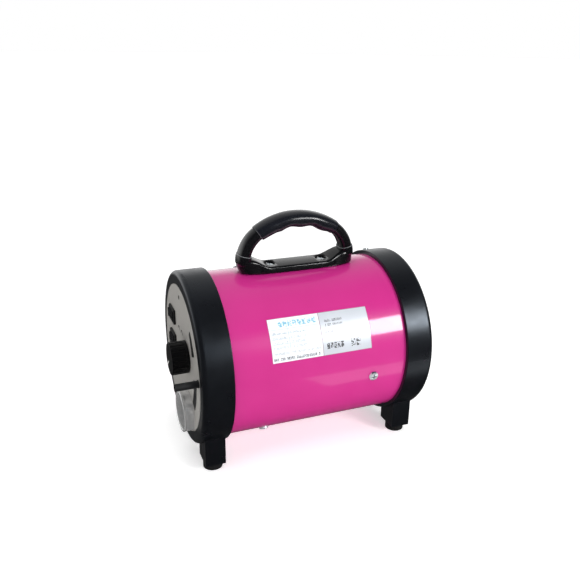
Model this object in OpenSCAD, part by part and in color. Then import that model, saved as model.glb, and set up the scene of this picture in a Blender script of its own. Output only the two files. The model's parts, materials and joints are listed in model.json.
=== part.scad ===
// Cylinder pet dryer: a steel drum between two moulded end rings, with a carrying handle on top,
// a speed control and hose outlet on the front and a pull-off filter cover on the back.
// X runs from the front face to the back along the drum, Z is up.
// The origin is on the resting surface, under the middle of the whole machine.

/* [Drum] */
// outer diameter of the drum
drum_d = 171.6; // [168:0.2:174]
// sheet thickness of the drum
drum_wall = 1.2; // [0.8:0.1:1.4]
// length over both end rings
body_len = 245.4; // [242:0.2:250]

/* [End rings] */
// outer diameter of the end rings
ring_d = 180; // [179:0.5:184]
// width of each ring
ring_w = 30.8; // [29:0.2:32]
// rounding of the outer edge of each ring
ring_round = 5; // [3:0.5:5]
// height of the drum axis above the table
axis_z = 103; // [101:1:106]

/* [Handle] */
// distance from the front face to the middle of the handle
handle_u = 124.4; // [122:0.2:127]
// half of the handle length
handle_half = 64.3; // [63:0.1:66]
// spacing of the two handle screws
handle_pitch = 57.8; // [54:0.2:60]

/* [Controls] */
// diameter of the speed knob
knob_d = 33; // [28:0.5:34]
// height of the speed knob above the face
knob_h = 17; // [14:0.5:19]

/* [Hose outlet] */
// bore of the hose outlet
outlet_bore = 37; // [34:0.5:38]
// distance that the outlet stands out in front of the face
outlet_reach = 9; // [7:0.5:12]

/* [Hidden] */
$fn = 96;
drum_r = drum_d / 2;
drum_in = drum_r - drum_wall;
ring_r = ring_d / 2;
plate_r = 76.5;
plate_t = 1.2;
gland_reach = 23;
front_x = -(body_len - gland_reach) / 2;
rear_x = front_x + body_len;
outlet_y = -27;
outlet_z = -47.2;
outlet_r = outlet_bore / 2;
knob_y = -24.4;
knob_z = 12.2;
knob_rest = -135;
switch_y = 36;
power_z = 34;
heat_z = 6;
gland_y = -71.5;
gland_z = 5.5;
bulk_front = 66;
bulk_rear = 172;
side_u = bulk_rear + 6.2;
side_angles = [-7.5, 111.3, 231.3];
hidden_angles = [115, 235, 305];
front_angles = [132, 250, 290];
rear_angles = [110, 250, 290];
foot_y = 50;
foot_h = 8;
handle_top = 145;
bar_top = 91.8;
arch_r = 80.4;
arch_half = 35.3;
corner_r = 42.2;
corner_y = handle_half - corner_r;
corner_z = 95.8;

// Places a shape drawn in the cross-section of the drum, u millimetres behind the front face.
module along(u) {
    translate([front_x + u, 0, axis_z])
        rotate([90, 0, 90])
            children();
}

// Places a shape with +Z pointing out of the drum, at angle a from the left side over the top.
module radial(u, a, r) {
    translate([front_x + u, 0, axis_z])
        rotate([90 - a, 0, 0])
            translate([0, 0, r])
                children();
}

// The places of the three screws of each end ring, at radius r.
module at_ring_screws(r) {
    for (a = front_angles)
        radial(22, a, r)
            children();
    for (a = rear_angles)
        radial(body_len - 22, a, r)
            children();
}

module tube(r1, r2, h) {
    difference() {
        cylinder(r = r1, h = h);
        translate([0, 0, -1])
            cylinder(r = r2, h = h + 2);
    }
}

// A pan-head screw standing on its seat: head above z = 0, shank below.
module pan_screw(head_r, head_h, shank_r, shank_l) {
    difference() {
        union() {
            intersection() {
                cylinder(r = head_r, h = head_h);
                translate([0, 0, head_h - 2.2 * head_r])
                    sphere(r = 2.2 * head_r);
            }
            translate([0, 0, -shank_l])
                cylinder(r = shank_r, h = shank_l + 0.1);
        }
        for (t = [0, 90])
            rotate([0, 0, t])
                translate([-head_r * 0.6, -head_r * 0.13, head_h * 0.3])
                    cube([head_r * 1.2, head_r * 0.26, head_h]);
    }
}

module rounded_rect(w, h, r) {
    square([w - 2 * r, h], center = true);
    square([w, h - 2 * r], center = true);
    for (x = [-1, 1], y = [-1, 1])
        translate([x * (w / 2 - r), y * (h / 2 - r)])
            circle(r = r);
}

// ---- drum and end rings ----

module body_shell() {
    color("#d83e91")
        difference() {
            along(6.2)
                tube(drum_r, drum_in, body_len - 12.4);
            for (a = side_angles)
                radial(side_u, a, drum_r - 4)
                    cylinder(r = 2.6, h = 8);
            for (a = hidden_angles)
                radial(bulk_front + 6.2, a, drum_r - 4)
                    cylinder(r = 2.6, h = 8);
            for (s = [-1, 1])
                radial(handle_u + s * handle_pitch / 2, 90, drum_r - 4)
                    cylinder(r = 2.7, h = 8);
            at_ring_screws(drum_r - 4)
                cylinder(r = 1.6, h = 8);
        }
}

// Half section of an end ring, radius along X and depth behind the outer face along Y.
module ring_section(flange_in) {
    translate([flange_in, 0])
        square([ring_r - ring_round - flange_in, 6]);
    translate([ring_r - ring_round, ring_round])
        circle(r = ring_round);
    translate([drum_r + 0.1, ring_round])
        square([ring_r - drum_r - 0.1, ring_w - ring_round - 0.8]);
    translate([drum_r + 0.1, ring_w - 1])
        square([ring_r - drum_r - 0.9, 1]);
    translate([ring_r - 0.8, ring_w - 0.8])
        circle(r = 0.8);
}

module ring_body(flange_in) {
    difference() {
        union() {
            rotate_extrude()
                ring_section(flange_in);
            for (s = [-1, 1])
                translate([s * foot_y - 13, foot_h - axis_z, 6])
                    cube([26, 34, 21]);
        }
        translate([0, 0, 6])
            cylinder(r = drum_r + 0.1, h = ring_w);
        for (s = [-1, 1])
            translate([s * foot_y, foot_h - axis_z - 1, 16.5])
                rotate([-90, 0, 0])
                    cylinder(r = 2, h = 13);
    }
}

module front_ring() {
    color("#17171a")
        difference() {
            along(0)
                ring_body(67);
            along(-1)
                cylinder(r = plate_r + 0.2, h = 1 + plate_t);
            along(-2)
                translate([gland_y, gland_z, 0])
                    cylinder(r = 3.7, h = 12);
            along(plate_t)
                translate([outlet_y, outlet_z, 0])
                    cylinder(r = outlet_r + 5.8, h = 4.8);
            at_ring_screws(drum_r - 2)
                cylinder(r = 1.6, h = 8);
        }
}

module rear_ring() {
    color("#17171a")
        difference() {
            translate([rear_x, 0, axis_z])
                rotate([90, 0, -90])
                    ring_body(70);
            along(body_len - 4)
                cylinder(r = plate_r + 0.3, h = 6);
            at_ring_screws(drum_r - 2)
                cylinder(r = 1.6, h = 8);
        }
}

module ring_screws() {
    color("#b9bcc0")
        at_ring_screws(ring_r)
            pan_screw(3, 1.9, 1.5, 7.5);
}

module rubber_feet() {
    color("#101012")
        for (u = [16.5, body_len - 16.5], s = [-1, 1])
            translate([front_x + u, s * foot_y, 0])
                difference() {
                    cylinder(r = 10, h = foot_h);
                    translate([0, 0, -1])
                        cylinder(r = 4.6, h = 5);
                    translate([0, 0, -1])
                        cylinder(r = 2.1, h = foot_h + 2);
                }
}

module foot_screws() {
    color("#b9bcc0")
        for (u = [16.5, body_len - 16.5], s = [-1, 1])
            translate([front_x + u, s * foot_y, 4])
                rotate([180, 0, 0])
                    pan_screw(4, 2.6, 1.9, 14);
}

// ---- front face ----

module arc_slot(r, w, a1, a2) {
    rotate([0, 0, 180 - a2])
        rotate_extrude(angle = a2 - a1)
            translate([r - w / 2, 0])
                square([w, 4]);
}

// The two arcs that run beside the outlet; the gap makes them narrower all round.
module face_arcs(gap) {
    arc_slot(57, 10 - 2 * gap, gap - 34, -gap);
    arc_slot(57, 10 - 2 * gap, 180 + gap, 214 - gap);
}

module front_plate() {
    color("#a09e9c")
        difference() {
            along(0)
                cylinder(r = plate_r, h = plate_t);
            along(-1) {
                translate([knob_y, knob_z, 0])
                    cylinder(r = 3.7, h = 4);
                translate([outlet_y, outlet_z, 0])
                    cylinder(r = outlet_r + 2.6, h = 4);
                for (z = [power_z, heat_z])
                    translate([switch_y - 11, z - 6.6, 0])
                        cube([22, 13.2, 4]);
                translate([gland_y, gland_z, 0])
                    cylinder(r = 3.7, h = 4);
                face_arcs(0);
            }
        }
}

// Moulded strips that fill the arcs of the plate.
module face_trims() {
    color("#161618")
        along(-0.4)
            intersection() {
                face_arcs(0.03);
                cylinder(r = plate_r, h = plate_t + 0.4);
            }
}

// The printed speed wedge and ticks, standing slightly proud of the plate.
module speed_scale() {
    color("#151517")
        along(-0.15)
            linear_extrude(height = 0.15) {
                intersection() {
                    difference() {
                        circle(r = 63.4);
                        translate([14, 6])
                            circle(r = 63.4);
                    }
                    polygon([[0, 0], [-80 * cos(25), 80 * sin(25)], [-80 * cos(48), 80 * sin(48)]]);
                }
                for (x = [-1, 1])
                    translate([x * 6.2 + 1.5, 28.4])
                        difference() {
                            circle(r = 4);
                            circle(r = 3);
                            translate([-5, -5])
                                square([10, 5 + x * 0.2]);
                        }
                translate([1.8, 65.5])
                    circle(r = 2.2);
            }
}

module outlet_spigot() {
    color("#c4c6c8")
        along(0)
            translate([outlet_y, outlet_z, 0])
                difference() {
                    union() {
                        translate([0, 0, -outlet_reach])
                            cylinder(r = outlet_r + 2.5, h = outlet_reach + 11);
                        rotate_extrude()
                            translate([outlet_r + 1.6, -outlet_reach])
                                circle(r = 1.3);
                        translate([0, 0, plate_t])
                            cylinder(r = outlet_r + 5.4, h = 1.4);
                    }
                    translate([0, 0, -outlet_reach - 2])
                        cylinder(r = outlet_r, h = outlet_reach + 20);
                }
}

// ---- speed control ----

module speed_knob() {
    color("#141416")
        along(-knob_h - 0.6)
            translate([knob_y, knob_z, 0])
                difference() {
                    union() {
                        cylinder(r = knob_d / 2 - 0.8, h = knob_h);
                        translate([0, 0, 0.8])
                            cylinder(r = knob_d / 2, h = knob_h - 0.8);
                        rotate_extrude()
                            translate([knob_d / 2 - 0.8, 0.8])
                                circle(r = 0.8);
                    }
                    for (i = [0:17])
                        rotate([0, 0, i * 20 + 10])
                            translate([knob_d / 2 + 1.1, 0, -1])
                                cylinder(r = 1.6, h = knob_h - 2);
                    translate([0, 0, 5])
                        cylinder(r = 3, h = knob_h);
                    translate([0, 0, 12])
                        cylinder(r = 10, h = knob_h);
                    rotate([0, 0, knob_rest])
                        translate([-0.9, 5, -1])
                            cube([1.8, knob_d / 2 - 6.5, 1.9]);
                }
}

module knob_pointer() {
    color("#e8e8e6")
        along(-knob_h - 0.6)
            translate([knob_y, knob_z, 0.1])
                rotate([0, 0, knob_rest])
                    translate([-0.9, 5, 0])
                        cube([1.8, knob_d / 2 - 6.5, 0.8]);
}

module pot_shaft() {
    color("#c9cbce")
        along(-knob_h + 4.6)
            translate([knob_y, knob_z, 0])
                cylinder(r = 3, h = 17.4);
}

module pot_body() {
    color("#7b7d80")
        along(plate_t)
            translate([knob_y, knob_z, 0])
                difference() {
                    union() {
                        cylinder(r = 12, h = 12);
                        translate([0, 0, -5])
                            cylinder(r = 3.6, h = 6);
                        translate([-8, -17, 2])
                            cube([16, 8, 1.6]);
                    }
                    translate([0, 0, -6])
                        cylinder(r = 3.05, h = 12);
                }
}

module pot_nut() {
    color("#c9cbce")
        along(-2.2)
            translate([knob_y, knob_z, 0])
                difference() {
                    cylinder(r = 5.8, h = 2.2, $fn = 6);
                    translate([0, 0, -1])
                        cylinder(r = 3.65, h = 5);
                }
}

// ---- rocker switches ----

module switch_case(z) {
    along(0)
        translate([switch_y, z, 0])
            difference() {
                union() {
                    translate([0, 0, -2])
                        linear_extrude(height = 2)
                            rounded_rect(25, 16, 2);
                    translate([-10.8, -6.5, -0.1])
                        cube([21.6, 13, 20]);
                    for (x = [-7, 0, 7])
                        translate([x - 0.4, -3, 19])
                            cube([0.8, 6, 9]);
                }
                translate([-9.9, -5.4, -3])
                    cube([19.8, 10.8, 16]);
            }
}

module rocker(z) {
    along(2.2)
        translate([switch_y, z, 0])
            rotate([90, 0, 0])
                translate([0, 0, -5])
                    linear_extrude(height = 10)
                        polygon([[-8.4, -4.8], [0, -3], [8.4, -6.2], [8.4, 1], [3, 7], [-3, 7], [-8.4, 1]]);
}

module power_switch() {
    color("#1b1b1e") switch_case(power_z);
}

module power_rocker() {
    color("#2a2a2d") rocker(power_z);
}

module heat_switch() {
    color("#1b1b1e") switch_case(heat_z);
}

module heat_rocker() {
    color("#2a2a2d") rocker(heat_z);
}

// ---- cord gland ----

module cord_gland() {
    color("#121214")
        along(0)
            translate([gland_y, gland_z, 0])
                difference() {
                    union() {
                        translate([0, 0, -gland_reach])
                            cylinder(r = 3.6, h = gland_reach + 16);
                        translate([0, 0, -0.8])
                            cylinder(r = 4, h = 0.8);
                    }
                    translate([0, 0, -gland_reach - 1])
                        cylinder(r = 2.6, h = gland_reach + 20);
                }
}

module gland_nut() {
    color("#1d1d20")
        along(6)
            translate([gland_y, gland_z, 0])
                difference() {
                    cylinder(r = 6.4, h = 4, $fn = 6);
                    translate([0, 0, -1])
                        cylinder(r = 3.6, h = 6);
                }
}

// ---- labels on the drum ----

module label(u1, u2) {
    along(u1)
        rotate([0, 0, 180 - 42.1])
            rotate_extrude(angle = 28.6)
                translate([drum_r, 0])
                    square([0.2, u2 - u1]);
}

module rating_label() {
    color("#e9edf0") label(70, 122.8);
}

module info_label() {
    color("#c6c9ce") label(123, 175.5);
}

// ---- side screws ----

module side_screws() {
    color("#b9bcc0") {
        for (a = side_angles)
            radial(side_u, a, drum_r)
                pan_screw(4.75, 2.6, 2.4, 10);
        for (a = hidden_angles)
            radial(bulk_front + 6.2, a, drum_r)
                pan_screw(4.75, 2.6, 2.4, 10);
    }
}

module bulkhead_nuts() {
    color("#b9bcc0") {
        for (a = side_angles)
            radial(side_u, a, drum_in - 5.8)
                tube(4.2, 2.45, 3.9);
        for (a = hidden_angles)
            radial(bulk_front + 6.2, a, drum_in - 5.8)
                tube(4.2, 2.45, 3.9);
    }
}

// ---- carrying handle ----

// Section of the handle arch: t across the arch, w along Y.
module grip_section(t, w, r) {
    rounded_rect(t, w, r);
}

// Sweeps a section along one stretch of a circular arc in the plane of the handle.
module arch_piece(r, a1, a2) {
    rotate([90, 0, 0])
        rotate([0, 0, a1])
            rotate_extrude(angle = a2 - a1)
                translate([r, 0])
                    children();
}

// Origin of the handle: on the drum axis, under the middle of the handle.
module at_handle() {
    translate([front_x + handle_u, 0, axis_z])
        children();
}

module handle_bar() {
    difference() {
        intersection() {
            rotate([90, 0, 0])
                translate([0, 0, -20])
                    linear_extrude(height = 40)
                        polygon([[-handle_half - 0.4, 80], [handle_half + 0.4, 80],
                            [handle_half + 0.4, 104], [handle_half - 14, 104], [handle_half - 18, 99],
                            [handle_half - 27, bar_top + 1.2], [handle_half - 32, bar_top],
                            [32 - handle_half, bar_top], [27 - handle_half, bar_top + 1.2],
                            [18 - handle_half, 99], [14 - handle_half, 104],
                            [-handle_half - 0.4, 104]]);
            rotate([90, 0, 90])
                translate([0, 0, -80])
                    linear_extrude(height = 160)
                        polygon([[-15, 80], [15, 80], [15, 86], [13, bar_top], [11.2, 104],
                            [-11.2, 104], [-13, bar_top], [-15, 86]]);
            translate([0, 0, 78])
                linear_extrude(height = 30)
                    rounded_rect(2 * handle_half + 0.8, 30, 10.6);
        }
        rotate([0, 90, 0])
            translate([0, 0, -90])
                cylinder(r = drum_r, h = 180);
        for (s = [-1, 1])
            translate([s * handle_pitch / 2, 0, 0]) {
                translate([0, 0, 88.6])
                    cylinder(r = 6.2, h = 10);
                translate([0, 0, 80])
                    cylinder(r = 2.7, h = 10);
            }
    }
}

module handle_frame() {
    color("#161618")
        at_handle() {
            handle_bar();
            for (s = [0, 1])
                mirror([s, 0, 0])
                    translate([corner_y, 0, corner_z]) {
                        translate([0, 0, -3])
                            linear_extrude(height = 3.1)
                                translate([corner_r - 7.2, 0])
                                    rounded_rect(14.8, 22, 6);
                        arch_piece(corner_r - 7.2, 0, 15)
                            grip_section(14.8, 22, 6);
                        arch_piece(corner_r - 7.2, 14.9, 90 - arch_half)
                            grip_section(13, 20, 5.6);
                    }
            translate([0, 0, handle_top - arch_r])
                arch_piece(arch_r - 7.4, 89.9 - arch_half, 90.1 + arch_half)
                    grip_section(8, 12, 3);
        }
}

module handle_grip() {
    color("#1a1a1d")
        at_handle()
            translate([0, 0, handle_top - arch_r])
                difference() {
                    union() {
                        arch_piece(arch_r - 7.4, 90.2 - arch_half, 89.8 + arch_half)
                            grip_section(15.4, 25, 7);
                        for (i = [-1, 0, 1])
                            rotate([0, -i * 22.5 - 2, 0])
                                translate([0, 0, arch_r - 10.6])
                                    rotate([90, 0, 0])
                                        cylinder(r = 6.4, h = 13, center = true);
                    }
                    arch_piece(arch_r - 7.4, 88 - arch_half, 92 + arch_half)
                        grip_section(8, 12, 3);
                }
}

module handle_screws() {
    color("#c4c7cb")
        at_handle()
            for (s = [-1, 1])
                translate([s * handle_pitch / 2, 0, 88.6])
                    pan_screw(4.75, 2.7, 2.45, 12);
}

module handle_nuts() {
    color("#b9bcc0")
        at_handle()
            for (s = [-1, 1])
                translate([s * handle_pitch / 2, 0, drum_in - 4.3])
                    difference() {
                        cylinder(r = 4.6, h = 4, $fn = 6);
                        translate([0, 0, -1])
                            cylinder(r = 2.5, h = 6);
                    }
}

// ---- filter cover on the back ----

module rear_grille() {
    color("#1b1b1e")
        along(body_len - 3.6) {
            tube(plate_r, 70.5, 3.6);
            for (r = [18:8.5:62])
                tube(r + 3, r, 3.6);
            cylinder(r = 10, h = 3.6);
            for (t = [0:45:315])
                rotate([0, 0, t])
                    translate([8, -2, 0])
                        cube([65, 4, 3.6]);
            translate([0, 0, -9])
                tube(69.4, 67.4, 10);
        }
}

module filter_foam() {
    color("#3a3b3f")
        along(body_len - 12.6)
            cylinder(r = 67.2, h = 9);
}

// ---- blower motor ----

module rear_bulkhead() {
    color("#aeb2b6")
        difference() {
            along(bulk_rear) {
                tube(drum_in - 0.1, 34, 1.4);
                tube(drum_in - 0.1, drum_in - 1.7, 12.4);
            }
            for (a = side_angles)
                radial(side_u, a, drum_r - 6)
                    cylinder(r = 2.6, h = 8);
        }
}

module inlet_gasket() {
    color("#202022")
        along(bulk_rear - 6)
            tube(60, 38, 6);
}

module fan_housing() {
    color("#b4b8bc")
        along(134) {
            tube(65, 63.8, 32);
            translate([0, 0, 30.8])
                tube(65, 24, 1.2);
        }
}

module impeller() {
    color("#c8ccd0")
        along(146) {
            tube(60, 4, 1);
            translate([0, 0, 14])
                tube(60, 25, 1);
            tube(9, 4, 10);
            for (i = [0:8])
                rotate([0, 0, i * 40])
                    linear_extrude(height = 14.2)
                        translate([26, 0])
                            intersection() {
                                difference() {
                                    translate([4, -34])
                                        circle(r = 36);
                                    translate([4, -34])
                                        circle(r = 35);
                                }
                                polygon([[0, 8], [0, -14], [33, -14], [33, 8]]);
                            }
        }
}

module impeller_nut() {
    color("#b9bcc0")
        along(156)
            difference() {
                cylinder(r = 7, h = 5, $fn = 6);
                translate([0, 0, -1])
                    cylinder(r = 4, h = 7);
            }
}

module diffuser() {
    color("#9fa3a7")
        along(137) {
            tube(63.7, 46.2, 1.4);
            for (i = [0:11])
                rotate([0, 0, i * 30])
                    translate([48, -0.6, 1.2])
                        cube([14.5, 1.2, 5]);
        }
}

module motor_frame() {
    color("#9a9da1")
        along(80)
            difference() {
                union() {
                    tube(46, 44.2, 63);
                    translate([0, 0, 55])
                        tube(46, 11, 2);
                    translate([0, 0, 48])
                        tube(15, 11, 8);
                    translate([0, 0, 61])
                        tube(46, 12, 2);
                }
                for (t = [0:60:300])
                    rotate([0, 0, t + 30])
                        translate([40, -8, 2])
                            cube([10, 16, 12]);
                for (t = [0:60:300])
                    rotate([0, 0, t + 30])
                        translate([28, 0, 50])
                            cylinder(r = 8, h = 15);
            }
}

module motor_endcap() {
    color("#8e9195")
        along(73.2) {
            tube(46, 19, 2.2);
            tube(19.4, 11, 8);
            difference() {
                translate([0, 0, 2])
                    tube(46, 44.2, 4.8);
                for (t = [0:60:300])
                    rotate([0, 0, t])
                        translate([40, -6, 3])
                            cube([10, 12, 6]);
            }
        }
}

module stator() {
    color("#6f7276")
        along(96)
            difference() {
                cylinder(r = 44.1, h = 28);
                translate([0, 0, -1])
                    cylinder(r = 23.6, h = 30);
                for (t = [0, 180])
                    rotate([0, 0, t])
                        translate([0, 0, -1])
                            linear_extrude(height = 30)
                                intersection() {
                                    difference() {
                                        circle(r = 38);
                                        circle(r = 27);
                                    }
                                    polygon([[0, 0], [40, 26], [40, -26]]);
                                }
            }
}

module field_coils() {
    color("#b8702c")
        along(89.5)
            for (t = [0, 180])
                rotate([0, 0, t])
                    linear_extrude(height = 38)
                        intersection() {
                            difference() {
                                circle(r = 36.5);
                                circle(r = 28.5);
                            }
                            polygon([[0, 0], [40, 21], [40, -21]]);
                        }
}

module armature() {
    color("#7c7f83")
        along(96)
            difference() {
                cylinder(r = 23, h = 28);
                translate([0, 0, -1])
                    cylinder(r = 4, h = 30);
                for (t = [0:30:330])
                    rotate([0, 0, t])
                        translate([17, -1.2, -1])
                            cube([7, 2.4, 30]);
            }
}

module commutator() {
    color("#b8702c")
        along(83)
            tube(12, 4, 11);
}

module motor_shaft() {
    color("#c9cbce")
        along(74.5)
            cylinder(r = 4, h = 89);
}

module bearings() {
    color("#c9cbce") {
        along(74.4)
            tube(11, 4.02, 6.6);
        along(129)
            tube(11, 4.02, 7);
    }
}

module brushes() {
    color("#3a3a3c")
        for (s = [-1, 1])
            along(88.5)
                translate([0, s * 24.9, 0])
                    cube([6, 25, 6], center = true);
}

module brush_holders() {
    color("#b58b3a")
        for (s = [-1, 1])
            along(88.5)
                translate([0, s * 31, 0])
                    difference() {
                        cube([9, 25, 9], center = true);
                        cube([6.1, 27, 6.1], center = true);
                    }
}

module front_damper() {
    color("#202022")
        along(bulk_front + 1.4)
            tube(18.6, 11.5, 5.8);
}

module front_bulkhead() {
    color("#aeb2b6")
        difference() {
            along(bulk_front) {
                cylinder(r = drum_in - 0.1, h = 1.4);
                tube(drum_in - 0.1, drum_in - 1.7, 12.4);
            }
            along(bulk_front - 1)
                translate([outlet_y, outlet_z, 0])
                    cylinder(r = outlet_r, h = 4);
            for (a = hidden_angles)
                radial(bulk_front + 6.2, a, drum_r - 6)
                    cylinder(r = 2.6, h = 8);
        }
}

// ---- heater ----

module air_duct() {
    color("#b4b8bc")
        along(11)
            translate([outlet_y, outlet_z, 0]) {
                tube(outlet_r + 2.5, outlet_r + 1.2, bulk_front - 11);
                translate([0, 0, bulk_front - 12.2])
                    tube(outlet_r + 6, outlet_r + 1.2, 1.2);
                tube(outlet_r + 2.5, outlet_r, 1.2);
            }
}

module heater_former() {
    color("#d8cfb8")
        along(24)
            translate([outlet_y, outlet_z, 0])
                difference() {
                    for (t = [0, 90])
                        rotate([0, 0, t])
                            translate([-outlet_r - 1, -0.5, 0])
                                cube([2 * outlet_r + 2, 1, 40]);
                    for (i = [0:7])
                        translate([0, 0, 4.1 + i * 4.4])
                            tube(15.4, 14.2, 1.4);
                }
}

module heater_coils() {
    color("#8a8f96")
        along(24)
            translate([outlet_y, outlet_z, 0])
                for (i = [0:7])
                    translate([0, 0, 4.8 + i * 4.4])
                        rotate_extrude()
                            translate([14.8, 0])
                                circle(r = 0.5);
}

module thermal_cutout() {
    color("#2b2b2e")
        along(28)
            translate([outlet_y + 2, outlet_z + 0.5, 0])
                cube([8, 4, 12]);
}

// ---- speed control board ----

module control_board() {
    color("#2f6b3a")
        along(50)
            translate([14, 40, 0])
                difference() {
                    translate([-33, -20, 0])
                        cube([66, 40, 1.6]);
                    for (x = [-1, 1], y = [-1, 1])
                        translate([x * 29, y * 16, -1])
                            cylinder(r = 1.6, h = 4);
                }
}

module board_posts() {
    color("#d8d8d4")
        along(48.4)
            for (x = [-1, 1], y = [-1, 1])
                translate([14 + x * 29, 40 + y * 16, 0]) {
                    cylinder(r = 1.5, h = bulk_front - 48.4);
                    cylinder(r = 2.8, h = 1.6);
                    translate([0, 0, 3.2])
                        cylinder(r = 2.8, h = bulk_front - 51.6);
                }
}

module board_parts() {
    color("#4a4c50")
        along(36) {
            translate([24, 28, 0])
                cube([16, 8, 14]);
            translate([0, 30, 4])
                cylinder(r = 5, h = 10);
            translate([6, 46, 2])
                cube([22, 3, 12]);
            for (i = [0:4])
                translate([6 + i * 4.5, 48.9, 2])
                    cube([1.4, 8, 12]);
        }
}

module sound_liner() {
    color("#4b4c50")
        difference() {
            along(80)
                tube(drum_in - 0.2, drum_in - 5.2, 90);
            for (s = [-1, 1])
                radial(handle_u + s * handle_pitch / 2, 90, drum_r - 12)
                    cylinder(r = 7, h = 14);
        }
}

body_shell();
front_ring();
rear_ring();
front_plate();
face_trims();
speed_scale();
outlet_spigot();
speed_knob();
knob_pointer();
pot_shaft();
pot_body();
pot_nut();
power_switch();
power_rocker();
heat_switch();
heat_rocker();
cord_gland();
gland_nut();
rating_label();
info_label();
side_screws();
ring_screws();
handle_frame();
handle_grip();
handle_screws();
handle_nuts();
rubber_feet();
foot_screws();
rear_grille();
filter_foam();
rear_bulkhead();
bulkhead_nuts();
inlet_gasket();
fan_housing();
impeller();
impeller_nut();
diffuser();
motor_frame();
motor_endcap();
stator();
field_coils();
armature();
commutator();
motor_shaft();
bearings();
brushes();
brush_holders();
front_damper();
front_bulkhead();
air_duct();
heater_former();
heater_coils();
thermal_cutout();
control_board();
board_posts();
board_parts();
sound_liner();
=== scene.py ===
import json
import math

import bmesh
import bpy
from mathutils import Matrix, Vector, noise


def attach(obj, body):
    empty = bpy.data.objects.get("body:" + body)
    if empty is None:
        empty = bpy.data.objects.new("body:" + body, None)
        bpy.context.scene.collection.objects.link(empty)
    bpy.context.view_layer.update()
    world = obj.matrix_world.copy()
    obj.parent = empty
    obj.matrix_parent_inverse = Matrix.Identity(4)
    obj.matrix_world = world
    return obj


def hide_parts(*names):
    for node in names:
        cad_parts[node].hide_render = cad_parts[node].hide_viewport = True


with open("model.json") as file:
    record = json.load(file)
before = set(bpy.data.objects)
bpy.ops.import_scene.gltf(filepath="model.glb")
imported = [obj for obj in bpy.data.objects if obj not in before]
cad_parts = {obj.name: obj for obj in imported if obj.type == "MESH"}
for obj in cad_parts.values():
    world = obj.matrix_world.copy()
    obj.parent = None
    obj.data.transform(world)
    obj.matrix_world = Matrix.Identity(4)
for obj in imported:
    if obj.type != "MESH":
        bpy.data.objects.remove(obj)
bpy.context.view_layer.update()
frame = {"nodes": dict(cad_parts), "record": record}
NODES = frame["nodes"]

# Main sizes in metres, the same as the CAD model's.
AX = 0.103
FRONT = -0.1112
BODY_LEN = 0.2454
BACK = FRONT + BODY_LEN
DRUM_R = 0.0858
HANDLE_X = FRONT + 0.1244
SIDE_SCREW_X = FRONT + 0.1782

# Labels on the drum: start and width in metres, and the arc they cover in degrees up from the side.
WHITE_LABEL = (FRONT + 0.070, 0.0528)
SILVER_LABEL = (FRONT + 0.123, 0.0525)
LABEL_ARC = (13.5, 42.1)

# Carrying handle, in millimetres from the drum's axis and the handle's middle.
MM = 0.001
SCREW_PITCH = 57.8
ARCH_R = 80.4
ARCH_HALF = 35.3
ARCH_Z = 145 - ARCH_R
CORNER_R = 42.2
CORNER_X = 64.3 - CORNER_R
CORNER_Z = 95.8
GRIP_ROUND = 1.7


# ---------------------------------------------------------------- shader helpers

# The span that nearly all of a noise texture's values fall in.
NOISE_LOW = 0.3
NOISE_HIGH = 0.7


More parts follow.
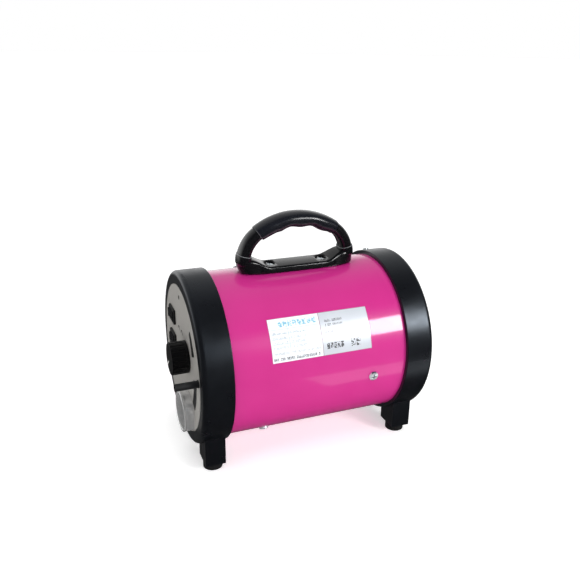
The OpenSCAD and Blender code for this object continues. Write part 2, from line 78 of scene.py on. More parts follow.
class Graph:
    """A small wrapper that makes node trees readable."""

    def __init__(self, name):
        self.mat = bpy.data.materials.new(name)
        self.mat.use_nodes = True
        self.nt = self.mat.node_tree
        self.nt.nodes.clear()
        self.out = self.nt.nodes.new("ShaderNodeOutputMaterial")
        self.bsdf = self.nt.nodes.new("ShaderNodeBsdfPrincipled")
        self.nt.links.new(self.bsdf.outputs[0], self.out.inputs["Surface"])
        tc = self.nt.nodes.new("ShaderNodeTexCoord")
        self.obj = tc.outputs["Object"]

    def set(self, **values):
        for key, value in values.items():
            self.bsdf.inputs[key.replace("_", " ")].default_value = value
        return self

    def link(self, source, target):
        self.nt.links.new(source, target)

    def feed(self, source, name):
        self.nt.links.new(source, self.bsdf.inputs[name])

    def math(self, op, a, b=None, c=None):
        n = self.nt.nodes.new("ShaderNodeMath")
        n.operation = op
        for i, v in enumerate((a, b, c)):
            if v is None:
                continue
            if isinstance(v, (int, float)):
                n.inputs[i].default_value = v
            else:
                self.link(v, n.inputs[i])
        return n.outputs[0]

    def xyz(self):
        n = self.nt.nodes.new("ShaderNodeSeparateXYZ")
        self.link(self.obj, n.inputs[0])
        return n.outputs

    def vec(self, x, y, z=0.0):
        n = self.nt.nodes.new("ShaderNodeCombineXYZ")
        for i, v in enumerate((x, y, z)):
            if isinstance(v, (int, float)):
                n.inputs[i].default_value = v
            else:
                self.link(v, n.inputs[i])
        return n.outputs[0]

    def stretch(self, scale):
        n = self.nt.nodes.new("ShaderNodeMapping")
        n.inputs["Scale"].default_value = scale
        self.link(self.obj, n.inputs["Vector"])
        return n.outputs[0]

    def noise(self, scale, detail=4.0, rough=0.55, vector=None):
        n = self.nt.nodes.new("ShaderNodeTexNoise")
        n.inputs["Scale"].default_value = scale
        n.inputs["Detail"].default_value = detail
        n.inputs["Roughness"].default_value = rough
        self.link(vector if vector is not None else self.obj, n.inputs["Vector"])
        return n.outputs["Fac"]

    def white(self, vector):
        n = self.nt.nodes.new("ShaderNodeTexWhiteNoise")
        n.noise_dimensions = "3D"
        self.link(vector, n.inputs["Vector"])
        return n.outputs["Value"]

    def voronoi(self, scale):
        n = self.nt.nodes.new("ShaderNodeTexVoronoi")
        n.inputs["Scale"].default_value = scale
        self.link(self.obj, n.inputs["Vector"])
        return n.outputs["Distance"]

    def span(self, value, lo, hi, out_lo, out_hi):
        n = self.nt.nodes.new("ShaderNodeMapRange")
        n.inputs["From Min"].default_value = lo
        n.inputs["From Max"].default_value = hi
        n.inputs["To Min"].default_value = out_lo
        n.inputs["To Max"].default_value = out_hi
        self.link(value, n.inputs["Value"])
        return n.outputs["Result"]

    def mix(self, fac, a, b):
        n = self.nt.nodes.new("ShaderNodeMix")
        n.data_type = "RGBA"
        if isinstance(fac, (int, float)):
            n.inputs[0].default_value = fac
        else:
            self.link(fac, n.inputs[0])
        for socket, v in ((n.inputs[6], a), (n.inputs[7], b)):
            if isinstance(v, (tuple, list)):
                socket.default_value = (v[0], v[1], v[2], 1.0)
            else:
                self.link(v, socket)
        return n.outputs[2]

    def rough(self, scale, lo, hi, detail=4.0, rough=0.55):
        """A roughness that drifts between two values."""
        self.feed(self.span(self.noise(scale, detail, rough), NOISE_LOW, NOISE_HIGH, lo, hi), "Roughness")

    def bump(self, height, strength, distance):
        n = self.nt.nodes.new("ShaderNodeBump")
        n.inputs["Strength"].default_value = strength
        n.inputs["Distance"].default_value = distance
        self.link(height, n.inputs["Height"])
        self.feed(n.outputs[0], "Normal")


def rgb(r, g, b):
    """sRGB 0-255 to linear."""
    def lin(v):
        v /= 255.0
        return v / 12.92 if v <= 0.04045 else ((v + 0.055) / 1.055) ** 2.4

    return (lin(r), lin(g), lin(b))


def scaled(colour, k):
    return tuple(c * k for c in colour)


# ---------------------------------------------------------------- materials

# Handle joints: the painted highlight line at each starts this far from the handle's middle, in millimetres;
# the second value is how strongly it is painted.
JOINT_FROM = 35.0
JOINT_HIGHLIGHT = 0.6

# Side screws: half the span of the cross recesses along the drum, and the height above the drum where they
# open; inside these the plating is painted dark as shade.
RECESS_HALF = 0.0024
RECESS_TOP = 0.0021


def pink_paint():
    g = Graph("pink_paint")
    base = g.mix(g.span(g.noise(9.0, 3.0), 0.35, 0.65, 0.0, 1.0), rgb(193, 39, 127), rgb(198, 44, 132))
    g.feed(base, "Base Color")
    g.rough(60.0, 0.3, 0.36, 5.0)
    g.set(Specular_IOR_Level=0.3, Coat_Weight=0.9, Coat_Roughness=0.09, Coat_IOR=1.5)
    g.bump(g.noise(420.0, 2.0), 0.02, 0.0002)
    return g.mat


def black_gloss():
    g = Graph("black_gloss")
    g.feed(g.mix(g.noise(14.0), (0.0035, 0.0038, 0.005), (0.006, 0.0065, 0.0085)), "Base Color")
    g.rough(45.0, 0.26, 0.36, 6.0, 0.65)
    g.set(Specular_IOR_Level=0.5, Specular_Tint=(0.78, 0.88, 1.0, 1.0))
    g.bump(g.noise(900.0, 3.0), 0.08, 0.0003)
    return g.mat


def satin_silver():
    g = Graph("satin_silver")
    grain = g.noise(1.0, 5.0, 0.6, g.stretch((40.0, 60.0, 1400.0)))
    g.feed(g.mix(grain, rgb(172, 169, 164), rgb(186, 183, 178)), "Base Color")
    g.feed(g.span(grain, NOISE_LOW, NOISE_HIGH, 0.36, 0.46), "Roughness")
    g.set(Metallic=0.35)
    g.bump(grain, 0.05, 0.0002)
    return g.mat


def moulded_black(name, lo, hi, grain, strength, tint, shine=0.5):
    g = Graph(name)
    g.feed(g.mix(g.noise(20.0), scaled(tint, 0.7), tint), "Base Color")
    g.rough(70.0, lo, hi, 5.0)
    g.set(Specular_IOR_Level=shine)
    g.bump(g.voronoi(grain), strength, 0.0003)
    return g.mat


def handle_look(name, lo, hi, tint, centre, joint, half):
    """Moulded black with a pale line painted at each joint of the handle, as the highlight on the joint's
    edge.

    centre is the arc's centre in the handle's millimetres, joint the line's angle on that arc in
    degrees and half its half width.
    """
    g = Graph(name)
    x, _, z = g.xyz()
    across = g.math("ABSOLUTE", g.math("DIVIDE", g.math("SUBTRACT", x, HANDLE_X), MM))
    height = g.math("DIVIDE", g.math("SUBTRACT", z, AX), MM)
    angle = g.math("ARCTAN2", g.math("SUBTRACT", height, centre[1]), g.math("SUBTRACT", across, centre[0]))
    middle = math.radians(joint)
    before = g.span(angle, middle - math.radians(half), middle, 0.0, 1.0)
    after = g.span(angle, middle + math.radians(half), middle, 0.0, 1.0)
    line = g.math("SMOOTH_MIN", before, after, 0.1)
    line = g.math("MULTIPLY", line, g.math("GREATER_THAN", across, JOINT_FROM))
    black = g.mix(g.noise(20.0), scaled(tint, 0.7), tint)
    # Painted highlight: the joint line is mixed towards pale grey.
    g.feed(g.mix(g.math("MULTIPLY", line, JOINT_HIGHLIGHT), black, rgb(150, 152, 156)), "Base Color")
    g.rough(70.0, lo, hi, 5.0)
    g.bump(g.voronoi(1300.0), 0.04, 0.0003)
    return g.mat


def zinc():
    """Bright plating, with painted shade inside the side screws' cross recesses."""
    g = Graph("zinc_steel")
    tint = (0.92, 0.97, 1.0)
    x, y, z = g.xyz()
    up = g.math("SUBTRACT", z, AX)
    radius = g.math("POWER", g.math("ADD", g.math("MULTIPLY", y, y), g.math("POWER", up, 2.0)), 0.5)
    out = g.math("SUBTRACT", radius, DRUM_R)
    near = g.math("LESS_THAN", g.math("ABSOLUTE", g.math("SUBTRACT", x, SIDE_SCREW_X)), RECESS_HALF)
    recess_shade = g.math("MULTIPLY", near, g.span(out, RECESS_TOP - 0.0005, RECESS_TOP, 1.0, 0.0))
    face = g.mix(g.noise(160.0), scaled(tint, 0.88), tint)
    # Painted shade: inside the screw recesses the plating is mixed towards dark teal.
    g.feed(g.mix(g.math("MULTIPLY", recess_shade, 0.93), face, rgb(24, 62, 78)), "Base Color")
    g.rough(400.0, 0.14, 0.24)
    g.set(Metallic=0.55)
    g.bump(g.noise(700.0, 3.0), 0.06, 0.0002)
    return g.mat


def plain(name, a, b, scale, lo, hi, metallic=0.0, bump=0.1, bump_scale=300.0):
    g = Graph(name)
    g.feed(g.mix(g.noise(scale), a, b), "Base Color")
    g.rough(scale * 3.0, lo, hi)
    g.set(Metallic=metallic)
    g.bump(g.noise(bump_scale), bump, 0.0004)
    return g.mat


class Print(Graph):
    """A label's print, laid out in the label's own width (s) and height (t), both 0 to 1."""

    def __init__(self, name, place):
        super().__init__(name)
        x, y, z = self.xyz()
        x0, width = place
        low, high = (math.radians(a) for a in LABEL_ARC)
        angle = self.math("ARCTAN2", self.math("SUBTRACT", z, AX), self.math("MULTIPLY", y, -1.0))
        self.s = self.math("DIVIDE", self.math("SUBTRACT", x, x0), width)
        self.t = self.math("DIVIDE", self.math("SUBTRACT", angle, low), high - low)

    def times(self, a, b):
        return self.math("MULTIPLY", a, b)

    def inside(self, value, lo, hi):
        return self.times(self.math("GREATER_THAN", value, lo), self.math("LESS_THAN", value, hi))

    def block(self, s0, s1, t0, t1):
        """A rectangle, from s0 to s1 along the label and t0 to t1 up it."""
        return self.times(self.inside(self.s, s0, s1), self.inside(self.t, t0, t1))

    def edge(self, side, end):
        """The label's cut edge, as a border of the given widths, where the seam's shade is painted."""
        return self.math("SUBTRACT", 1.0, self.block(side, 1.0 - side, end, 1.0 - end))

    def count(self, value, lo, hi, cells):
        """A value's place between lo and hi, counted in cells."""
        return self.times(self.math("DIVIDE", self.math("SUBTRACT", value, lo), hi - lo), float(cells))

    def glyphs(self, s0, s1, t0, t1, cols, rows, seed, fill, height):
        """Rows of small letter-like marks that spell nothing."""
        across = self.count(self.s, s0, s1, cols)
        down = self.count(self.t, t0, t1, rows)
        in_row = self.math("LESS_THAN", self.math("FRACT", down), height)
        in_col = self.math("LESS_THAN", self.math("FRACT", across), 0.8)
        dot_col = self.math("FLOOR", self.times(across, 4.0))
        dot_row = self.math("FLOOR", self.times(down, 8.0))
        ink = self.math("GREATER_THAN", self.white(self.vec(dot_col, dot_row, float(seed))), 1.0 - fill)
        letter = self.vec(self.math("FLOOR", across), self.math("FLOOR", down), seed + 3.5)
        written = self.math("GREATER_THAN", self.white(letter), 0.16)
        marks = self.times(self.times(in_row, in_col), self.times(ink, written))
        return self.times(marks, self.block(s0, s1, t0, t1))

    def join(self, *masks):
        whole = masks[0]
        for mask in masks[1:]:
            whole = self.math("MAXIMUM", whole, mask)
        return whole

    def ink(self, base, mask, strength, colour):
        return self.mix(self.times(mask, strength), base, colour)

    def finish(self, colour, lo, hi):
        """A darker border painted along the cut edge as shade in the seam, the paper's roughness and its
        faint relief, the same on both labels.
        """
        # Painted shade: a border along the cut edge is mixed towards a dark pinkish grey.
        self.feed(self.ink(colour, self.edge(0.006, 0.008), 0.55, rgb(112, 92, 108)), "Base Color")
        self.rough(200.0, lo, hi)
        self.bump(self.noise(240.0), 0.04, 0.0003)


def label_white():
    g = Print("label_white", WHITE_LABEL)
    paper = g.mix(g.noise(80.0, 3.0), rgb(226, 232, 238), rgb(236, 240, 244))
    col = g.mix(g.block(0.03, 0.97, 0.74, 0.96), paper, rgb(228, 240, 246))
    title = g.glyphs(0.10, 0.95, 0.79, 0.93, 9, 1, 2, 0.62, 0.95)
    col = g.mix(title, col, rgb(128, 182, 208))
    rules = [g.block(0.03, 0.97, 0.735, 0.745), g.block(0.36, 0.372, 0.30, 0.74)]
    rules += [g.block(0.03, 0.74, t, t + 0.01) for t in (0.635, 0.52, 0.405)]
    col = g.mix(g.join(*rules), col, rgb(176, 190, 202))
    names = g.glyphs(0.05, 0.34, 0.30, 0.73, 12, 4, 5, 0.5, 0.55)
    values = g.glyphs(0.40, 0.70, 0.30, 0.73, 11, 4, 8, 0.5, 0.55)
    col = g.ink(col, g.join(names, values), 0.6, rgb(96, 116, 138))
    col = g.ink(col, g.glyphs(0.04, 0.96, 0.17, 0.24, 34, 1, 11, 0.6, 0.8), 0.5, rgb(70, 78, 96))
    col = g.ink(col, g.glyphs(0.03, 0.97, 0.04, 0.12, 30, 1, 13, 0.72, 0.85), 0.85, rgb(30, 33, 42))
    g.finish(col, 0.34, 0.42)
    g.set(Specular_IOR_Level=0.3, Coat_Weight=0.1, Coat_Roughness=0.3)
    return g.mat


def label_silver():
    g = Print("label_silver", SILVER_LABEL)
    film = g.mix(g.noise(60.0, 3.0), rgb(190, 195, 203), rgb(203, 208, 215))
    rows = g.glyphs(0.10, 0.46, 0.66, 0.86, 14, 2, 21, 0.6, 0.6)
    middle_left = g.glyphs(0.06, 0.24, 0.50, 0.58, 7, 1, 22, 0.5, 0.7)
    middle_right = g.glyphs(0.60, 0.90, 0.42, 0.50, 8, 1, 27, 0.35, 0.7)
    col = g.ink(film, g.join(rows, middle_left, middle_right), 0.85, rgb(48, 50, 58))
    lower_left = g.glyphs(0.08, 0.44, 0.14, 0.30, 5, 1, 24, 0.62, 0.85)
    lower_right = g.glyphs(0.58, 0.90, 0.12, 0.30, 3, 1, 25, 0.55, 0.95)
    col = g.ink(col, g.join(lower_left, lower_right), 0.9, rgb(30, 30, 34))
    g.finish(col, 0.28, 0.36)
    g.set(Metallic=0.1, Specular_IOR_Level=0.4, Coat_Weight=0.15, Coat_Roughness=0.2)
    return g.mat


def foam_look():
    g = Graph("filter_foam")
    cells = g.voronoi(900.0)
    g.feed(g.mix(g.span(cells, 0.0, 0.6, 0.0, 1.0), (0.008, 0.008, 0.009), (0.05, 0.05, 0.054)), "Base Color")
    g.set(Roughness=0.95)
    g.bump(cells, 0.9, 0.0012)
    return g.mat


def brushed(name, a, b, lo, hi):
    g = Graph(name)
    grain = g.noise(1.0, 5.0, 0.6, g.stretch((700.0, 40.0, 40.0)))
    g.feed(g.mix(grain, a, b), "Base Color")
    g.feed(g.span(grain, NOISE_LOW, NOISE_HIGH, lo, hi), "Roughness")
    g.set(Metallic=0.6)
    g.bump(grain, 0.06, 0.0002)
    return g.mat


MATERIALS = {
    "pink_paint": pink_paint(),
    "black_gloss": black_gloss(),
    "satin_silver": satin_silver(),
    "black_print": plain("black_print", (0.003, 0.003, 0.003), (0.005, 0.005, 0.005), 90.0, 0.5, 0.6),
    "black_plastic": moulded_black("black_plastic", 0.4, 0.52, 900.0, 0.1, (0.006, 0.006, 0.007), 0.3),
    "zinc_steel": zinc(),
    "knob_black": moulded_black("knob_black", 0.42, 0.55, 1100.0, 0.1, (0.003, 0.003, 0.0034), 0.2),
    "pointer_white": plain("pointer_white", rgb(215, 215, 210), rgb(236, 236, 232), 200.0, 0.4, 0.5),
    "rocker_black": moulded_black("rocker_black", 0.2, 0.3, 700.0, 0.05, (0.009, 0.009, 0.01)),
    "black_rubber": moulded_black("black_rubber", 0.55, 0.72, 700.0, 0.2, (0.01, 0.01, 0.011)),
    "label_white": label_white(),
    "label_silver": label_silver(),
    "handle_black": handle_look("handle_black", 0.15, 0.22, (0.005, 0.0052, 0.0062),
                                (CORNER_X, CORNER_Z), 13.1, 0.8),
    "grip_black": handle_look("grip_black", 0.2, 0.28, (0.008, 0.009, 0.013),
                              (0.0, ARCH_Z), 90.0 - ARCH_HALF + 0.3, 0.7),
    "filter_foam": foam_look(),
    "galvanised": brushed("galvanised", rgb(150, 154, 158), rgb(190, 194, 197), 0.3, 0.45),
    "spun_aluminium": brushed("spun_aluminium", rgb(206, 206, 206), rgb(232, 232, 232), 0.16, 0.26),
    "cast_aluminium": plain("cast_aluminium", rgb(160, 162, 165), rgb(196, 198, 200), 60.0, 0.4, 0.55, 0.9),
    "core_steel": brushed("core_steel", rgb(90, 92, 95), rgb(130, 132, 135), 0.4, 0.55),
    "copper": plain("copper", rgb(168, 92, 46), rgb(196, 116, 62), 120.0, 0.3, 0.45, 0.9),
    "carbon": plain("carbon", (0.02, 0.02, 0.02), (0.04, 0.04, 0.04), 200.0, 0.5, 0.7),
    "brass_slot": plain("brass_slot", rgb(190, 150, 70), rgb(212, 172, 92), 90.0, 0.28, 0.4, 1.0),
    "mica": plain("mica", rgb(196, 184, 150), rgb(222, 212, 184), 50.0, 0.4, 0.6),
    "board_green": plain("board_green", rgb(24, 84, 44), rgb(34, 100, 54), 60.0, 0.3, 0.4),
    "post_white": plain("post_white", rgb(216, 216, 210), rgb(232, 232, 226), 60.0, 0.45, 0.55),
    "liner_felt": plain("liner_felt", (0.05, 0.05, 0.055), (0.12, 0.12, 0.125), 300.0, 0.9, 1.0,
                        bump=0.6, bump_scale=900.0),
}

SLOT_OF = {s["node"]: s["material_slot"] for s in frame["record"]["subparts"]}
for node_name, obj in NODES.items():
    material = MATERIALS[SLOT_OF[node_name]]
    if len(obj.data.materials) == 0:
        obj.data.materials.append(material)
    for i in range(len(obj.data.materials)):
        obj.data.materials[i] = material


# ---------------------------------------------------------------- mesh helpers

def new_object(name, bm, material, smooth=math.radians(40)):
    bmesh.ops.recalc_face_normals(bm, faces=bm.faces)
    me = bpy.data.meshes.new(name)
    bm.to_mesh(me)
    bm.free()
    ob = bpy.data.objects.new(name, me)
    bpy.context.collection.objects.link(ob)
    me.materials.append(MATERIALS[material])
    me.polygons.foreach_set("use_smooth", [True] * len(me.polygons))
    me.set_sharp_from_angle(angle=smooth)
    return ob


def loft(bm, rings):
    """Skins a list of closed rings of points and caps both ends."""
    loops = [[bm.verts.new(p) for p in ring] for ring in rings]
    n = len(loops[0])
    for a, b in zip(loops[:-1], loops[1:]):
        for i in range(n):
            bm.faces.new((a[i], a[(i + 1) % n], b[(i + 1) % n], b[i]))
    bm.faces.new(list(reversed(loops[0])))
    bm.faces.new(loops[-1])


def superellipse(n, a, b, power):
    """Points round a squared-off ellipse with half axes a and b."""
    pts = []
    for i in range(n):
        t = 2 * math.pi * i / n
        c, s = math.cos(t), math.sin(t)
        pts.append((a * math.copysign(abs(c) ** (2 / power), c), b * math.copysign(abs(s) ** (2 / power), s)))
    return pts


def smoothstep(lo, hi, v):
    t = min(1.0, max(0.0, (v - lo) / (hi - lo)))
    return t * t * (3 - 2 * t)


# ---------------------------------------------------------------- carrying handle

# Grip, in millimetres from the arch's centre: outer and inner radii, width and the taper to its ends.
# DEGREE_LENGTH is the length of one degree of its arc, for the rounding of the ends.
GRIP_OUT = 80.66
GRIP_IN = 65.0
GRIP_WIDTH = 25.0
GRIP_TAPER = 2.2
GRIP_STEPS = 96
GRIP_AROUND = 48
DEGREE_LENGTH = 1.29

# Finger waves on the grip's underside. FINGER_SHARE is its radius as a share of the arch's.
FINGER_WAVE = 0.95
FINGER_PITCH = 24.0
FINGER_SHIFT = 2.9
FINGER_SHARE = 0.84

# Base bar: half lengths at its foot and body, half widths, and heights above the drum's axis.
BAR_HALF = 63.9
FOOT_HALF = 61.5
BAR_WIDE = 14.2
TOP_WIDE = 13.5
BAR_FLOOR = 85.6
BAR_TOP = 91.8
SIDE_LOW = 86.6
WEB_RISE = 8.4
WEB_FROM = 30.0
WEB_TO = 52.0
LIFT_FROM = 61.0
LIFT_SLOPE = 8.0 / 3.0
BAR_STEPS = 90
EDGE_STEPS = 5
UNDER_STEPS = 12

# Cuts for each handle screw, counterbore then through hole: radius, bottom and top.
SCREW_CUTS = ((6.2, 88.6, 110.0), (2.6, 80.0, 88.7))

# Leg foot: height, half width and set-back of its lowest rings. Then its lipped socket: from and to in
# degrees, steps, outer radius over the corner's, inner radius under it, and width.
FOOT_RINGS = ((91.2, 7.4, 2.3), (93.5, 9.0, 0.9), (95.0, 10.2, 0.2))
FOOT_DEPTH = 7.3
SOCKET_ARCS = ((0, 12.6, 8, 0.3, 15.0, 21.8), (13.3, 13.9, 1, -0.1, 14.6, 21.0),
               (14.3, 14.4, 1, -0.8, 13.8, 19.8))
LEG_AROUND = 40

# Leg above the socket, in degrees of its corner, and the core bar inside the grip.
LEG_ARC = (13.0, 54.9)
LEG_STEPS = 24
LEG_WIDTH = 20.0
CORE_OUT = 77.5
CORE_IN = 68.5
CORE_WIDTH = 12.0
CORE_STEPS = 60
CORE_OVERLAP = 0.4


def handle_point(x, y, z):
    """Millimetres from the drum axis under the handle's middle, to the row frame."""
    return (HANDLE_X + x * MM, y * MM, AX + z * MM)


def arch_rings(centre, a0, a1, steps, outer, inner, width, power, side=1):
    """Rings along an arc, from degrees a0 to a1, between an outer and an inner radius."""
    rings = []
    for i in range(steps + 1):
        a = math.radians(a0 + (a1 - a0) * i / steps)
        ring = []
        for u, v in superellipse(LEG_AROUND, (outer - inner(a)) / 2, width / 2, power):
            r = (outer + inner(a)) / 2 + u
            ring.append(handle_point(side * (centre[0] + r * math.cos(a)), v, centre[1] + r * math.sin(a)))
        rings.append(ring)
    return rings


def grip_inner(a):
    """Inner radius of the grip: finger waves in the middle, a slight swell at the ends."""
    x = ARCH_R * math.cos(a) * FINGER_SHARE
    waves = FINGER_WAVE * math.cos(2 * math.pi * (x - FINGER_SHIFT) / FINGER_PITCH)
    gate = smoothstep(-26, -18, x) * (1 - smoothstep(34, 40, x))
    swell = 0.9 * smoothstep(30, 44, abs(x))
    return GRIP_IN - waves * gate + swell


def build_grip():
    bm = bmesh.new()
    a0 = 90 - ARCH_HALF + 0.25
    span = 2 * (90 - a0)
    rings = []
    for i in range(GRIP_STEPS + 1):
        f = i / GRIP_STEPS
        a = math.radians(a0 + span * f)
        from_end = min(f, 1 - f) * span * DEGREE_LENGTH
        pull = 0.0
        if from_end < GRIP_ROUND:
            pull = GRIP_ROUND - math.sqrt(max(0.0, GRIP_ROUND ** 2 - (GRIP_ROUND - from_end) ** 2))
        outer = GRIP_OUT - pull
        inner = grip_inner(a) + pull
        width = GRIP_WIDTH - 2 * pull - GRIP_TAPER * smoothstep(0.3, 0.5, abs(f - 0.5))
        ring = []
        for u, v in superellipse(GRIP_AROUND, (outer - inner) / 2, width / 2, 2.5):
            r = (outer + inner) / 2 + u
            ring.append(handle_point(r * math.cos(a), v, ARCH_Z + r * math.sin(a)))
        rings.append(ring)
    loft(bm, rings)
    return new_object("handle_grip_look", bm, "grip_black")


def bar_plan(ax, end, power):
    """Half width of the base bar at a distance from its middle, closing to a rounded end."""
    return max(0.4, BAR_WIDE * max(0.0, 1.0 - (ax / end) ** power) ** (1 / 2.2))


def bar_section(x):
    """One closed section of the base bar: underside on the drum, sides, rounded top edges."""
    ax = abs(x)
    foot = bar_plan(ax, FOOT_HALF, 5.0)
    plan = bar_plan(ax, BAR_HALF + 0.1, 6.0)
    floor_z = BAR_FLOOR + LIFT_SLOPE * max(0.0, ax - LIFT_FROM)
    rise = smoothstep(WEB_FROM, WEB_TO, ax)
    top = BAR_TOP + WEB_RISE * rise
    lean = smoothstep(0.0, 1.0, rise)
    half_top = min(plan - 0.3, TOP_WIDE - 2.0 * lean)
    corner = min(2.4 + 1.4 * lean, half_top * 0.6)
    low = max(SIDE_LOW, floor_z + 1.2)
    ring = []
    for i in range(UNDER_STEPS + 1):
        y = -foot + 2 * foot * i / UNDER_STEPS
        ring.append((x, y, max(floor_z, math.sqrt((DRUM_R / MM) ** 2 - y * y) + 0.05)))
    ring.append((x, max(foot, plan), low))
    edge = []
    for i in range(EDGE_STEPS + 1):
        t = math.pi / 2 * i / EDGE_STEPS
        edge.append((half_top - corner + corner * math.cos(t), top - corner + corner * math.sin(t)))
    ring += [(x, y, z) for y, z in edge]
    ring += [(x, -y, z) for y, z in reversed(edge)]
    ring.append((x, -max(foot, plan), low))
    return [handle_point(*p) for p in ring]


def build_bar():
    bm = bmesh.new()
    inner = [-BAR_HALF * math.cos(math.pi * i / BAR_STEPS) for i in range(1, BAR_STEPS)]
    xs = [-BAR_HALF + 0.02] + inner + [BAR_HALF - 0.02]
    loft(bm, [bar_section(x) for x in xs])
    return new_object("handle_frame_look", bm, "handle_black", math.radians(32))


def cut_screw_holes(bar):
    """Counterbores and through holes for the two handle screws."""
    cutter_bm = bmesh.new()
    for s in (-1, 1):
        for r, z0, z1 in SCREW_CUTS:
            m = Matrix.Translation(handle_point(s * SCREW_PITCH / 2, 0, (z0 + z1) / 2))
            bmesh.ops.create_cone(cutter_bm, cap_ends=True, segments=64, radius1=r * MM, radius2=r * MM,
                                  depth=(z1 - z0) * MM, matrix=m)
    cutter = new_object("handle_cutter", cutter_bm, "handle_black")
    mod = bar.modifiers.new("counterbores", "BOOLEAN")
    mod.operation = "DIFFERENCE"
    mod.solver = "EXACT"
    mod.object = cutter
    deps = bpy.context.evaluated_depsgraph_get()
    cut = bpy.data.meshes.new_from_object(bar.evaluated_get(deps))
    bar.modifiers.clear()
    bar.data = cut
    bpy.data.objects.remove(cutter)


def leg_foot(side):
    """The leg's lower end: it widens out of the bar's top, turns and ends in a lipped socket."""
    rings = []
    for z, w, back in FOOT_RINGS:
        x = CORNER_X + CORNER_R - 7.2 - back
        section = superellipse(LEG_AROUND, FOOT_DEPTH, w, 2.4)
        rings.append([handle_point(side * (x + u), v, z) for u, v in section])
    for a0, a1, steps, out, into, width in SOCKET_ARCS:
        rings += arch_rings((CORNER_X, CORNER_Z), a0, a1, steps, CORNER_R + out,
                            lambda a, into=into: CORNER_R - into, width, 2.5, side)
    return rings


def build_frame():
    bar = build_bar()
    cut_screw_holes(bar)
    legs = bmesh.new()
    for side in (-1, 1):
        loft(legs, leg_foot(side))
        loft(legs, arch_rings((CORNER_X, CORNER_Z), *LEG_ARC, LEG_STEPS, CORNER_R - 0.7,
                              lambda a: CORNER_R - 13.7 + 0.5 * math.sin(a), LEG_WIDTH, 2.6, side))
    loft(legs, arch_rings((0, ARCH_Z), 90 - ARCH_HALF - CORE_OVERLAP, 90 + ARCH_HALF + CORE_OVERLAP,
                          CORE_STEPS, CORE_OUT, lambda a: CORE_IN, CORE_WIDTH, 2.4))
    part = new_object("handle_legs_part", legs, "handle_black")
    bpy.ops.object.select_all(action="DESELECT")
    bar.select_set(True)
    part.select_set(True)
    bpy.context.view_layer.objects.active = bar
    bpy.ops.object.join()
    return bar


handle = build_frame()
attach(handle, "machine")
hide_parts("handle_frame")
grip = build_grip()
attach(grip, "machine")
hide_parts("handle_grip")


# ---------------------------------------------------------------- filter foam

# The foam disc behind the rear grille, in metres: radius, both faces, and how uneven they are.
FOAM_R = 0.0672
FOAM_OUTER = BACK - 0.0037
FOAM_INNER = BACK - 0.0126
FOAM_ROUGH = 0.0004
FOAM_GRAIN = 260
FOAM_RINGS = 26
FOAM_AROUND = 120


def bridge(bm, a, b):
    """Joins two loops of the same length with quads."""
    for i in range(len(a)):
        j = (i + 1) % len(a)
        bm.faces.new((a[i], a[j], b[j], b[i]))


def foam_face(bm, x, sign):
    """One uneven face of the foam disc, from its centre out; returns its flat rim."""
    centre = bm.verts.new((x, 0, AX))
    last = None
    for k in range(1, FOAM_RINGS + 1):
        r = FOAM_R * k / FOAM_RINGS
        loop = []
        for i in range(FOAM_AROUND):
            t = 2 * math.pi * i / FOAM_AROUND
            y, z = r * math.cos(t), r * math.sin(t)
            d = 0.0
            if k < FOAM_RINGS:
                d = noise.noise(Vector((y * FOAM_GRAIN, z * FOAM_GRAIN, sign * 3.0))) * FOAM_ROUGH
            loop.append(bm.verts.new((x - FOAM_ROUGH * sign + d, y, AX + z)))
        if last is None:
            for i in range(FOAM_AROUND):
                bm.faces.new((centre, loop[i], loop[(i + 1) % FOAM_AROUND]))
        else:
            bridge(bm, last, loop)
        last = loop
    return last


def build_foam():
    bm = bmesh.new()
    outer = foam_face(bm, FOAM_OUTER, 1)
    inner = foam_face(bm, FOAM_INNER, -1)
    bridge(bm, outer, inner)
    return new_object("filter_foam_look", bm, "filter_foam")


foam = build_foam()
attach(foam, "filter_cover")
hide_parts("filter_foam")


# ---------------------------------------------------------------- stage, light, camera

# The paper floor glows more with distance, in metres, so that it fades to white.
FLOOR_GLOW = 0.5
GLOW_FROM = 0.6
GLOW_TO = 2.2
FLOOR_HALF = 14.0
DOME_R = 13.5


def stage_object(name, bm, material):
    me = bpy.data.meshes.new(name)
    bm.to_mesh(me)
    bm.free()
    me.materials.append(material)
    ob = bpy.data.objects.new(name, me)
    bpy.context.collection.objects.link(ob)
    return ob


def build_floor():
    g = Graph("floor_paper")
    g.feed(g.mix(g.noise(3.0, 3.0), (0.88, 0.88, 0.88), (0.9, 0.9, 0.9)), "Base Color")
    g.set(Roughness=0.75, Specular_IOR_Level=0.2, Emission_Color=(1, 1, 1, 1))
    far = g.nt.nodes.new("ShaderNodeVectorMath")
    far.operation = "LENGTH"
    g.link(g.obj, far.inputs[0])
    g.feed(g.span(far.outputs["Value"], GLOW_FROM, GLOW_TO, FLOOR_GLOW, 1.0), "Emission Strength")
    bm = bmesh.new()
    bmesh.ops.create_grid(bm, x_segments=2, y_segments=2, size=FLOOR_HALF)
    ob = stage_object("floor", bm, g.mat)
    ob.visible_glossy = False


def build_backdrop():
    """A white dome that only the camera sees, so every view has the same plain background."""
    g = Graph("backdrop_white")
    g.set(Base_Color=(0, 0, 0, 1), Roughness=1.0, Emission_Color=(1, 1, 1, 1), Emission_Strength=1.0)
    bm = bmesh.new()
    bmesh.ops.create_uvsphere(bm, u_segments=64, v_segments=32, radius=DOME_R)
    ob = stage_object("backdrop", bm, g.mat)
    for ray in ("diffuse", "glossy", "transmission", "volume_scatter", "shadow"):
        setattr(ob, "visible_" + ray, False)


build_floor()
build_backdrop()
bpy.context.scene.view_settings.view_transform = "Standard"


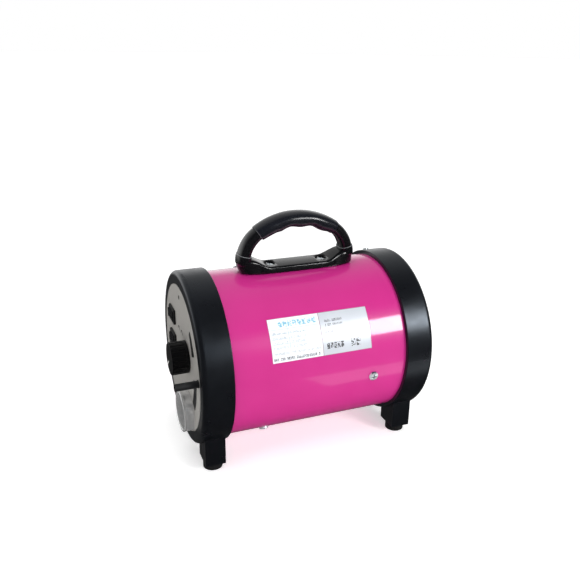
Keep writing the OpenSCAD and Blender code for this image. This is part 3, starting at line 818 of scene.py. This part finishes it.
def build_world():
    """Studio surroundings for the reflections: bright behind the object, dim in front, above and below."""
    world = bpy.data.worlds.new("studio")
    bpy.context.scene.world = world
    world.use_nodes = True
    tree = world.node_tree
    tree.nodes.clear()
    coords = tree.nodes.new("ShaderNodeTexCoord")
    split = tree.nodes.new("ShaderNodeSeparateXYZ")
    tree.links.new(coords.outputs["Generated"], split.inputs[0])

    def ramp(axis, from_min, from_max, to_min, to_max):
        n = tree.nodes.new("ShaderNodeMapRange")
        n.interpolation_type = "SMOOTHSTEP"
        n.inputs["From Min"].default_value = from_min
        n.inputs["From Max"].default_value = from_max
        n.inputs["To Min"].default_value = to_min
        n.inputs["To Max"].default_value = to_max
        tree.links.new(split.outputs[axis], n.inputs["Value"])
        return n.outputs["Result"]

    def times(a, b):
        n = tree.nodes.new("ShaderNodeMath")
        n.operation = "MULTIPLY"
        tree.links.new(a, n.inputs[0])
        tree.links.new(b, n.inputs[1])
        return n.outputs[0]

    behind = ramp("Y", -0.1, 0.65, 0.05, 1.15)
    above = ramp("Z", 0.1, 0.5, 1.0, 0.4)
    below = ramp("Z", -0.28, -0.1, 0.06, 1.0)
    level = times(times(behind, above), below)
    colour = tree.nodes.new("ShaderNodeCombineColor")
    for channel in ("Red", "Green", "Blue"):
        tree.links.new(level, colour.inputs[channel])
    background = tree.nodes.new("ShaderNodeBackground")
    background.inputs["Strength"].default_value = 1.0
    tree.links.new(colour.outputs[0], background.inputs["Color"])
    out = tree.nodes.new("ShaderNodeOutputWorld")
    tree.links.new(background.outputs[0], out.inputs["Surface"])


build_world()


def area(name, at, target, size_x, size_y, watts, glossy=True, colour=(1, 1, 1)):
    """A rectangular light aimed at a target; glossy says whether reflections show it."""
    data = bpy.data.lights.new(name, "AREA")
    data.shape = "RECTANGLE"
    data.size = size_x
    data.size_y = size_y
    data.energy = watts
    data.color = colour
    ob = bpy.data.objects.new(name, data)
    bpy.context.collection.objects.link(ob)
    ob.location = at
    ob.rotation_euler = (Vector(target) - Vector(at)).to_track_quat("-Z", "Y").to_euler()
    ob.visible_glossy = glossy
    return ob


CENTRE = (0, 0, 0.1)
area("overhead", (0.0, -0.2, 1.6), CENTRE, 1.6, 1.6, 18.2, False)
area("front_fill", (-0.3, -1.7, 0.62), CENTRE, 1.6, 1.2, 5.3, False)
area("face_fill", (-1.6, -0.3, 0.5), CENTRE, 1.0, 1.0, 7, False)
area("softbox", (0.86, -1.32, 0.80), (0.1, 0, 0.1), 0.42, 0.55, 15)
area("side_panel", (0.3, -1.6, 1.0), CENTRE, 0.8, 0.45, 0.3, colour=(0.5, 0.74, 1.0))

# A faint panel lying on the floor, seen only as the soft low highlight on the drum.
sheen = area("floor_sheen", (0.21, -0.205, 0.003), (0.21, -0.205, 1.0), 0.3, 0.1, 0.085)
sheen.visible_diffuse = False
sheen.visible_camera = False

# The photo's view, fitted to the outlines of the rings, the drum and the handle.
CAMERA_AT = (FRONT - 0.1240, -0.6188, AX + 0.3151)
AZIMUTH, ELEVATION, ROLL = (math.radians(a) for a in (-21.44, 21.06, 0.8))
LENS = 41.56


def build_camera():
    data = bpy.data.cameras.new("camera")
    camera = bpy.data.objects.new("camera", data)
    bpy.context.collection.objects.link(camera)
    bpy.context.scene.camera = camera
    data.sensor_width = 36.0
    data.lens = LENS
    data.clip_end = 60.0
    camera.location = CAMERA_AT
    level = Vector((-math.sin(AZIMUTH), math.cos(AZIMUTH), 0.0))
    forward = level * math.cos(ELEVATION) - Vector((0, 0, math.sin(ELEVATION)))
    right = forward.cross(Vector((0, 0, 1))).normalized()
    up = right.cross(forward)
    rolled_right = right * math.cos(ROLL) + up * math.sin(ROLL)
    rolled_up = up * math.cos(ROLL) - right * math.sin(ROLL)
    camera.rotation_euler = Matrix((rolled_right, rolled_up, -forward)).transposed().to_euler()


build_camera()
